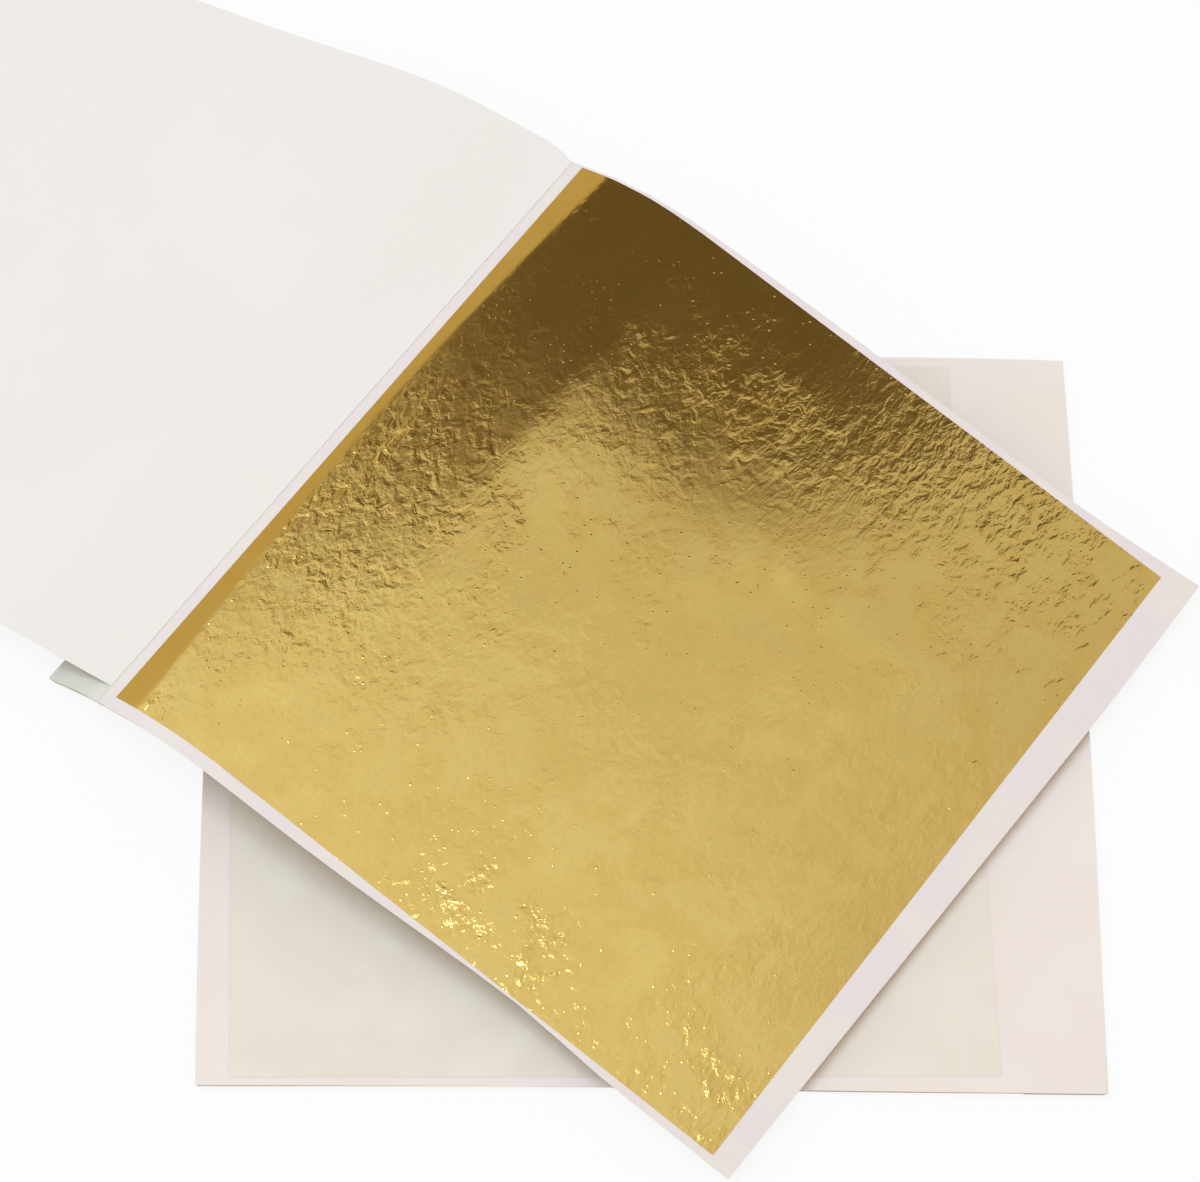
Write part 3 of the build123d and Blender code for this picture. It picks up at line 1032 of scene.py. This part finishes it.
@dataclass
class ClosedBooklet:
    """The closed booklet, flat on the surface with its spine to +X."""

    sizes: Booklet
    materials: Materials
    press: float = 0.16  # how far the pile sinks outside its gold
    press_start: float = 0.7
    press_edge: float = 1.6
    left_edge: Marks = ((-72.5, -80.9), (-43, -81.7), (-12, -82.2), (72.5, -82.0))
    right_edge: Marks = ((-72.5, 82.6), (-11, 82.6), (46, 81.5), (72.5, 80.8))
    foot_edge: Marks = ((-82, -72.3), (-15, -72.2), (34, -72.8), (83, -73.1))
    head_edge: Marks = ((-82, 72.4), (50, 73.2), (77, 72.7), (83, 72.4))
    edge_band: float = 5.0  # along the head and the foot, where the lines lie close
    edge_lines: int = 6
    inner_lines: int = 14
    column_spans: tuple[tuple[float, float, int], ...] = ((0, 10, 10), (10, 132, 10), (132, 149.5, 14))
    margin_columns: int = 3
    page_jog: float = 0.1  # how far in the first page's edges lie, and by its creep each further one's
    page_creep: float = 0.015
    strip_jog: float = 0.08
    strip_creep: float = 0.012
    gold_jog: float = 0.3
    gold_stray: float = 0.1
    backing_inset: float = 0.3

    def sink_at(self, x: float, y: float) -> float:
        """How far the top of the pile lies lower, outside the gold.

        Args:
            x: towards the spine.
            y: towards the head.

        Returns:
            The drop in millimetres.
        """
        left, right, foot, head = CoverTissue.sides
        lean_x, lean_y = CoverTissue.lean
        level, plumb = x + lean_x * y, y + lean_y * x
        outside = max(left - level, level - right, foot - plumb, plumb - head)
        return self.press * ease((outside - self.press_start) / self.press_edge)

    def sheet(self, top: float, bottom: float, spans: tuple[float, float], trim: Trim) -> tuple[Grid, Grid]:
        """One sheet of the pile.

        Args:
            top: its upper face's height.
            bottom: its lower face's height.
            spans: where it starts and ends, as shares of the booklet's width.
            trim: how its edges stray.

        Returns:
            The points of its upper and lower face.
        """
        near, far = spans
        upper, lower = [], []
        low, high = -self.sizes.leaf_length / 2, self.sizes.leaf_length / 2
        for y in self.lines(high, low):
            row = (high - y) / (high - low)
            left = through(self.left_edge, y) + trim.at(2, row)
            right = through(self.right_edge, y) - trim.at(3, row)
            line_up, line_low = [], []
            for share in (value for value in self.shares() if near <= value <= far):
                x = left + (right - left) * share
                head, foot = through(self.head_edge, x) - trim.at(0, share), through(self.foot_edge, x)
                at = head + (foot + trim.at(1, share) - head) * row
                sink = self.sink_at(x, at)
                line_up.append(Vector((x, at, top - sink * top / self.sizes.depth)) * MM)
                line_low.append(Vector((x, at, bottom - sink * bottom / self.sizes.depth)) * MM)
            upper.append(line_up)
            lower.append(line_low)
        return upper, lower

    @property
    def fold_share(self) -> float:
        """Where the glued margin starts, as a share of the width."""
        return self.sizes.leaf_width / self.sizes.width

    def shares(self) -> list[float]:
        """Shares of the width, close together where the gold's sides press through."""
        width = self.sizes.width
        spans = (*self.column_spans, (self.sizes.leaf_width, width, self.margin_columns))
        return [at / width for start, end, count in spans for at in steps(start, end, count)] + [1.0]

    def lines(self, high: float, low: float) -> list[float]:
        """Lines from the head to the foot, close together near both.

        Args:
            high: the head's place.
            low: the foot's place.

        Returns:
            The places, in order.
        """
        inner_high, inner_low = high - self.edge_band, low + self.edge_band
        places = steps(high, inner_high, self.edge_lines) + steps(inner_high, inner_low, self.inner_lines)
        return places + steps(inner_low, low, self.edge_lines) + [low]

    def gold_sheet(self, number: int) -> tuple[Grid, Grid]:
        """One gold leaf of the pile, under the cover's field, a little smaller than it and off its centre.

        Args:
            number: its number from the top.

        Returns:
            The points of its upper and lower face.
        """
        left, right, foot, head = CoverTissue.sides
        lean_x, lean_y = CoverTissue.lean
        trim = Trim(f"closed gold {number}", 0.0 if number == 1 else self.gold_jog, self.gold_stray)
        top = self.sizes.depth - self.sizes.gold_depth(number)
        faces = []
        for height in (top, top - self.sizes.gold):
            grid = []
            for row in (0.0, 0.5, 1.0):
                plumb = head - trim.at(0, 0) + (foot + trim.at(1, 0) - head + trim.at(0, 0)) * row
                line = []
                for share in (0.0, 0.5, 1.0):
                    level = left + trim.at(2, 0) + (right - trim.at(3, 0) - left - trim.at(2, 0)) * share
                    line.append(Vector((level - lean_x * plumb, plumb - lean_y * level, height)) * MM)
                grid.append(line)
            faces.append(grid)
        return faces[0], faces[1]

    @property
    def top(self) -> float:
        """The height of the cover's upper face."""
        return self.sizes.depth - self.sizes.gap

    def build_cover(self) -> bpy.types.Object:
        """Builds the first tissue, pressed down round the gold that shows through it."""
        cover = build_shell("cover_tissue", *self.sheet(self.top, self.top - self.sizes.tissue, (0, 1), TOP))
        dress(cover, self.materials.cover)
        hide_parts("closed_cover_leaf")
        return cover

    def build_pages(self) -> bpy.types.Object:
        """Builds the tissues under the cover."""
        pile = []
        end = self.fold_share - self.sizes.gap / self.sizes.width
        for number in self.sizes.numbers():
            top = self.sizes.depth - self.sizes.leaf_depth(number)
            trim = Trim(f"closed {number}", self.page_jog + self.page_creep * number)
            pile.append(self.sheet(top, top - self.sizes.tissue, (0, end), trim))
        pages = build_shells("closed_tissue_pages", pile)
        # the pages' tissue, with painted shade in its colour
        dress(pages, self.materials.pages_painted_shade)
        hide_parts("closed_tissue_leaves")
        return pages

    def build_gold(self) -> bpy.types.Object:
        """Builds the gold leaves between the tissues."""
        sheets = [self.gold_sheet(number) for number in self.sizes.numbers()]
        golds = build_shells("closed_gold_sheets", sheets)
        dress(golds, self.materials.gold)
        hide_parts("closed_gold_leaves")
        return golds

    def build_margin(self) -> bpy.types.Object:
        """Builds the glued margin as the edges of the tissues that make it."""
        sizes = self.sizes
        under_cover = self.top - sizes.tissue - sizes.gap
        pitch = (under_cover - sizes.backing - sizes.gap) / sizes.leaf_count
        slabs = []
        for number in range(sizes.leaf_count):
            top = under_cover - number * pitch
            trim = Trim(f"closed strip {number}", self.strip_jog + self.strip_creep * number)
            slabs.append(self.sheet(top, top - pitch + sizes.gap, (self.fold_share, 1), trim))
        margin = build_shells("bound_margin_closed", slabs)
        dress(margin, self.materials.glued)
        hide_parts("closed_bound_strip")
        return margin

    def build_backing(self) -> bpy.types.Object:
        """Builds the thicker last sheet, on which the pile lies."""
        trim = Trim("base", self.backing_inset)
        backing = build_shell("backing_sheet_closed", *self.sheet(self.sizes.backing, 0.0, (0, 1), trim))
        dress(backing, self.materials.backing)
        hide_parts("closed_backing_sheet")
        return backing

    def build(self) -> list[bpy.types.Object]:
        """Builds every piece of the closed booklet, which rides as one."""
        pieces = [self.build_cover(), self.build_pages(), self.build_gold(), self.build_margin()]
        pieces.append(self.build_backing())
        for piece in pieces:
            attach(piece, "closed_booklet")
        return pieces


@dataclass
class Canopy:
    """A card overhead that only polished metal reflects: dark behind, warm far off, bright in front."""

    height: float = 1000.0
    reach: float = 3600.0
    lines: int = 170
    tint: tuple[float, float] = (1.16, 1.42)  # how much faster green and blue fall off than red
    warm: Colour = (0.66, 0.54, 0.32)
    near_side: Marks = ((-1500, 1680), (-1000, 1110), (-500, 625), (0, 225), (200, 100))
    far_side: Marks = ((-1700, 2950), (-1110, 2180), (-600, 1390), (-200, 870), (200, 465))
    left_tones: Marks = ((-0.1, 1.0), (0.14, 0.93), (0.3, 0.64), (0.45, 0.4), (0.6, 0.22), (0.75, 0.16))
    border: Marks = (
        (-60, 450), (0, 430), (140, 396), (200, 354), (250, 344),
        (300, 356), (340, 388), (450, 480), (700, 620), (1300, 900),
    )
    right_tones: Marks = (
        (-330, 0.95), (-200, 0.92), (-110, 0.8), (-44, 0.8), (-12, 0.5), (8, 0.22), (26, 0.155),
    )
    side_start: float = -60.0  # where the left side's tones start to turn into the right side's
    side_fade: float = 200.0
    right_end: float = 0.74  # the brightest tone in front, far to the right
    right_end_start: float = 120.0
    right_end_fade: float = 260.0
    front: float = 420.0
    folds: float = 0.13  # how much lighter and darker the card's own folds are
    fold_sizes: tuple[float, float, float] = (17.0, 13.0, 60.0)  # across, along and how far they lean
    darkest: float = 0.02
    centre: tuple[float, float] = (-50.0, 60.0)
    warm_reach: float = 2560.0
    warm_fade: float = 90.0
    middle: tuple[float, float] = (100.0, 350.0)  # where the card's grid is finest
    fine_reach: float = 90.0

    def colour_at(self, x: float, y: float) -> Colour:
        """The card's colour at a point in plan.

        Args:
            x: towards the right.
            y: towards the back.

        Returns:
            The colour, in linear light.
        """
        near, far = through(self.near_side, x), through(self.far_side, x)
        left = through(self.left_tones, (y - near) / (far - near))
        right = through(self.right_tones, y - through(self.border, x))
        if y < self.front:
            most = 1.0 - (1.0 - self.right_end) * ease((x - self.right_end_start) / self.right_end_fade)
            right = min(right, most)
        tone = left + (right - left) * ease((x - self.side_start) / self.side_fade)
        across, along, lean = self.fold_sizes
        tone = max(tone * (1 + self.folds * sin(x / across) * sin(y / along + x / lean)), self.darkest)
        colour = (tone, tone ** self.tint[0], tone ** self.tint[1])
        away = hypot(x - self.centre[0], y - self.centre[1])
        return self.between(colour, self.warm, ease((away - self.warm_reach) / self.warm_fade + 0.5))

    @staticmethod
    def between(first: Colour, second: Colour, share: float) -> Colour:
        """A colour between two others."""
        red, green, blue = (a + (b - a) * share for a, b in zip(first, second))
        return red, green, blue

    def build(self) -> None:
        """Hangs the card."""
        most = asinh(self.reach / self.fine_reach)
        shares = [2 * i / self.lines - 1 for i in range(self.lines + 1)]
        places = [self.fine_reach * sinh(most * share) for share in shares]
        points = [(x + self.middle[0], y + self.middle[1]) for y in places for x in places]
        side = self.lines + 1
        faces = [
            (r * side + c, r * side + c + 1, (r + 1) * side + c + 1, (r + 1) * side + c)
            for r in range(self.lines)
            for c in range(self.lines)
        ]
        mesh = bpy.data.meshes.new("canopy")
        mesh.from_pydata([(x * MM, y * MM, self.height * MM) for x, y in points], [], faces)
        shades = mesh.attributes.new("shade", "FLOAT_COLOR", "POINT")
        shades.data.foreach_set("color", [v for x, y in points for v in (*self.colour_at(x, y), 1.0)])
        card = add_object("canopy", mesh)
        material, tree = add_material("studio_card")
        shade = add_node(tree, "ShaderNodeAttribute", attribute_name="shade").outputs["Color"]
        glow = add_node(tree, "ShaderNodeEmission", {"Color": shade, "Strength": 1.0})
        add_node(tree, "ShaderNodeOutputMaterial", {"Surface": glow.outputs[0]})
        mesh.materials.append(material)
        card.visible_camera = False
        card.visible_diffuse = False
        card.visible_shadow = False
        card.visible_transmission = False


@dataclass
class Studio:
    """The surface, the lights and the camera of a plain product photograph, angles in degrees."""

    floor_side: float = 4000.0
    floor_sink: float = 0.05
    floor_tone: float = 0.9
    floor_glow: float = 0.88  # how much of the floor shows as plain white, and not its shadow
    ambient: float = 0.7
    ambient_colour: Colour = (1.0, 0.88, 0.74)
    key_colour: Colour = (0.594, 0.774, 1.0)
    key_power: float = 10.2
    key_side: float = 800.0
    key_place: Place = (-350.0, 100.0, 1450.0)
    glints: tuple[tuple[str, Place, float, float], ...] = (  # name, place, side and power
        ("glint_lamp_front", (60.0, -20.0, 950.0), 70.0, 0.22),
        ("glint_lamp_left", (-1620.0, 1560.0, 900.0), 130.0, 0.8),
    )
    lens: float = 111.07
    sensor: float = 36.0
    clip: tuple[float, float] = (10.0, 20000.0)  # the nearest and the farthest that the camera sees
    distance: float = 702.3
    elevation: float = 67.61
    azimuth: float = -0.26
    target: Place = (-8.76, 24.67, 0.0)

    def add_world(self) -> None:
        """An even white room: full white where it is seen or reflected, lower and warmer where it lights."""
        world = bpy.data.worlds.new("studio_room")
        bpy.context.scene.world = world
        world.use_nodes = True
        tree = world.node_tree
        tree.nodes.clear()
        path = add_node(tree, "ShaderNodeLightPath").outputs
        seen = path["Is Camera Ray"]
        for ray in ("Is Glossy Ray", "Is Transmission Ray"):
            seen = add_node(tree, "ShaderNodeMath", {0: seen, 1: path[ray]}, operation="MAXIMUM").outputs[0]
        light = tuple(self.ambient * c for c in self.ambient_colour)
        colours = {0: seen, 6: (*light, 1.0), 7: (*WHITE, 1.0)}
        colour = add_node(tree, "ShaderNodeMix", colours, data_type="RGBA").outputs[2]
        room = add_node(tree, "ShaderNodeBackground", {"Color": colour, "Strength": 1.0})
        add_node(tree, "ShaderNodeOutputWorld", {"Surface": room.outputs[0]})

    def add_floor(self) -> None:
        """A white sweep that keeps a faint shadow of the booklets."""
        half = self.floor_side / 2 * MM
        corners = [(-half, -half, 0), (half, -half, 0), (half, half, 0), (-half, half, 0)]
        mesh = bpy.data.meshes.new("floor")
        mesh.from_pydata(corners, [], [(0, 1, 2, 3)])
        floor = add_object("floor", mesh)
        floor.location.z = -self.floor_sink * MM
        material, tree = add_material("paper_sweep_white")
        path = add_node(tree, "ShaderNodeLightPath").outputs
        matt = add_node(tree, "ShaderNodeBsdfDiffuse", {"Color": (*[self.floor_tone] * 3, 1.0)})
        glow = add_node(tree, "ShaderNodeEmission", {"Color": (*WHITE, 1.0), "Strength": 1.0})
        look = {0: path["Is Camera Ray"], 1: self.floor_glow}
        share = add_node(tree, "ShaderNodeMath", look, operation="MULTIPLY")
        look = {0: share.outputs[0], 1: matt.outputs[0], 2: glow.outputs[0]}
        mixed = add_node(tree, "ShaderNodeMixShader", look)
        add_node(tree, "ShaderNodeOutputMaterial", {"Surface": mixed.outputs[0]})
        mesh.materials.append(material)

    def add_lamp(
        self, name: str, place: Vector, side: float, power: float, colour: Colour
    ) -> bpy.types.Object:
        """Adds a square lamp that faces the booklets.

        Args:
            name: its name.
            place: where it hangs, in millimetres.
            side: its side in millimetres.
            power: in watts.
            colour: its colour.

        Returns:
            The lamp.
        """
        data = bpy.data.lights.new(name, "AREA")
        data.size = side * MM
        data.energy = power
        data.color = colour
        lamp = add_object(name, data)
        lamp.location = place * MM
        lamp.rotation_euler = (-place).to_track_quat("-Z", "Y").to_euler()
        return lamp

    def add_lamps(self) -> None:
        """A broad lamp above to the left, and two small ones whose glints the crinkled gold scatters."""
        place, side = Vector(self.key_place), self.key_side
        key = self.add_lamp("key_lamp", place, side, self.key_power, self.key_colour)
        key.visible_glossy = False
        for name, place, side, power in self.glints:
            self.add_lamp(name, Vector(place), side, power, WHITE)

    def add_camera(self) -> None:
        """Sets the camera at the photograph's viewing angle."""
        raised, turned = radians(self.elevation), radians(self.azimuth)
        ahead = Vector((sin(turned) * cos(raised), cos(turned) * cos(raised), -sin(raised)))
        right = Vector((cos(turned), -sin(turned), 0))
        data = bpy.data.cameras.new("camera")
        data.lens = self.lens
        data.sensor_width = self.sensor
        data.clip_start, data.clip_end = (limit * MM for limit in self.clip)
        camera = add_object("camera", data)
        turn = Matrix((right, right.cross(ahead), -ahead)).transposed().to_4x4()
        camera.matrix_world = Matrix.Translation((Vector(self.target) - ahead * self.distance) * MM) @ turn
        bpy.context.scene.camera = camera

    def build(self) -> None:
        """Sets up the whole studio."""
        bpy.context.scene.view_settings.view_transform = "Standard"
        self.add_world()
        self.add_floor()
        self.add_lamps()
        self.add_camera()
        Canopy().build()


def main() -> None:
    """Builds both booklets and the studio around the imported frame."""
    logging.basicConfig(level=logging.INFO, format="%(name)s: %(message)s")
    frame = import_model()
    sizes = Booklet()
    materials = Materials()
    hinge = next(joint for joint in frame["joints"] if joint["name"] == "leaf_01_turn")
    closed_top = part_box("closed_cover_leaf")[1].z / MM
    Studio().build()
    pieces = OpenBooklet(sizes, materials, hinge, closed_top + REST_GAP).build()
    pieces += ClosedBooklet(sizes, materials).build()
    for piece in pieces:
        LOG.info("%s: %d faces", piece.name, len(piece.data.polygons))


if __name__ == "__main__":
    main()
